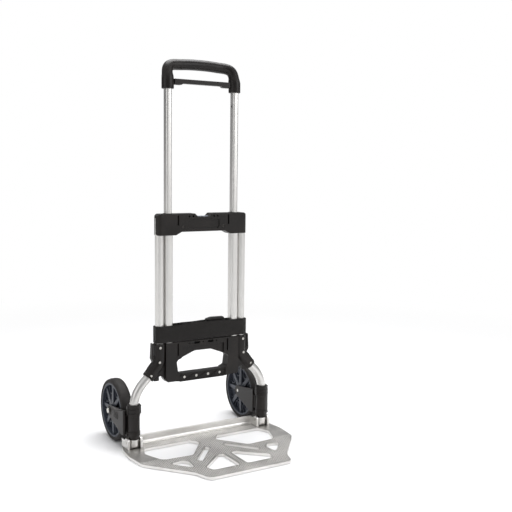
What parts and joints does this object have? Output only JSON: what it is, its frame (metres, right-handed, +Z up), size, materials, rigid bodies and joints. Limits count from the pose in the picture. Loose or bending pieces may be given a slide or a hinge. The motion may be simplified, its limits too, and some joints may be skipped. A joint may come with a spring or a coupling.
{
  "type": "folding hand truck",
  "caption": "Folding hand truck: telescoping handle on a bent-tube frame, fold-up toe plate, and wheels whose forks swing in as the plate folds.",
  "frame": {"origin": "on the floor, at the middle of the unfolded truck's footprint", "axes": "+X to the right seen from the front (plate side), +Y towards the wheels, +Z up along the handle"},
  "size_m": [0.493, 0.504, 1.0918],
  "materials": {
    "tube_aluminium": "satin anodised tube",
    "cast_aluminium": "satin, dimpled tread on top, bright worn rim",
    "steel": "zinc plated",
    "black_plastic": "fine moulded texture",
    "grip_plastic": "satin soft-touch",
    "hub_plastic": "moulded, slate blue-grey",
    "bar_plastic": "smooth grey",
    "tyre_rubber": "matt solid rubber",
    "webbing": "woven elastic webbing"
  },
  "bodies": {
    "frame": {"right_frame_tube": "tube_aluminium", "left_frame_tube": "tube_aluminium", "right_guide_tube": "tube_aluminium", "left_guide_tube": "tube_aluminium", "right_guide_bush": "black_plastic", "left_guide_bush": "black_plastic", "right_lower_collar": "black_plastic", "left_lower_collar": "black_plastic", "right_upper_collar": "black_plastic", "left_upper_collar": "black_plastic", "right_tube_foot": "cast_aluminium", "left_tube_foot": "cast_aluminium", "mid_bracket_front": "black_plastic", "mid_bracket_rear": "black_plastic", "strap_bar": "bar_plastic", "lower_bracket_front": "black_plastic", "lower_bracket_rear": "black_plastic", "strap": "webbing", "strap_bundle": "webbing", "strap_hook": "grip_plastic", "mid_screw_1": "steel", "mid_screw_2": "steel", "bar_screw_1": "steel", "bar_screw_2": "steel", "bar_screw_3": "steel", "bar_screw_4": "steel", "column_screw_1": "steel", "column_screw_2": "steel", "column_screw_3": "steel", "column_screw_4": "steel", "column_screw_5": "steel", "column_screw_6": "steel"},
    "toe": {"toe_plate": "cast_aluminium", "right_toe_pin": "steel", "left_toe_pin": "steel"},
    "handle": {"right_handle_tube": "tube_aluminium", "left_handle_tube": "tube_aluminium", "right_handle_plug": "black_plastic", "left_handle_plug": "black_plastic", "handle_grip": "grip_plastic"},
    "release": {"release_bar": "grip_plastic", "right_release_rod": "steel", "left_release_rod": "steel"},
    "right_latch": {"right_latch_plunger": "steel"},
    "left_latch": {"left_latch_plunger": "steel"},
    "right_fork": {"right_wheel_fork": "black_plastic", "right_axle": "steel"},
    "left_fork": {"left_wheel_fork": "black_plastic", "left_axle": "steel"},
    "right_wheel": {"right_tyre": "tyre_rubber", "right_wheel_hub": "hub_plastic", "right_wheel_bush": "bar_plastic"},
    "left_wheel": {"left_tyre": "tyre_rubber", "left_wheel_hub": "hub_plastic", "left_wheel_bush": "bar_plastic"}
  },
  "joints": [
    {"name": "toe_fold", "type": "hinge", "parent": "frame", "child": "toe", "pos_m": [0, 0.046, 0.027], "axis": [-1, 0, 0], "range_deg": [0, 90]},
    {"name": "right_fork_swing", "type": "hinge", "parent": "frame", "child": "right_fork", "pos_m": [0.209, 0.046, 0.08], "axis": [0, 0, 1], "range_deg": [0, 90]},
    {"name": "left_fork_swing", "type": "hinge", "parent": "frame", "child": "left_fork", "pos_m": [-0.209, 0.046, 0.08], "axis": [0, 0, -1], "range_deg": [0, 90]},
    {"name": "right_wheel_spin", "type": "hinge", "parent": "right_fork", "child": "right_wheel", "pos_m": [0.214, 0.162, 0.09], "axis": [1, 0, 0], "continuous": true},
    {"name": "left_wheel_spin", "type": "hinge", "parent": "left_fork", "child": "left_wheel", "pos_m": [-0.214, 0.162, 0.09], "axis": [1, 0, 0], "continuous": true},
    {"name": "handle_slide", "type": "slide", "parent": "frame", "child": "handle", "axis": [0, 0, 1], "range_m": [-0.335, 0]},
    {"name": "release_press", "type": "slide", "parent": "handle", "child": "release", "axis": [0, 0, 1], "range_m": [0, 0.007], "stiffness_N_per_m": 800},
    {"name": "right_latch_slide", "type": "slide", "parent": "handle", "child": "right_latch", "axis": [1, 0, 0], "range_m": [0, 0.003]},
    {"name": "left_latch_slide", "type": "slide", "parent": "handle", "child": "left_latch", "axis": [-1, 0, 0], "range_m": [0, 0.003]}
  ],
  "couplings": [
    {"joint": "right_fork_swing", "follows": "toe_fold", "ratio": 1},
    {"joint": "left_fork_swing", "follows": "toe_fold", "ratio": 1},
    {"joint": "right_latch_slide", "follows": "release_press", "ratio": 0.428},
    {"joint": "left_latch_slide", "follows": "release_press", "ratio": 0.428}
  ]
}
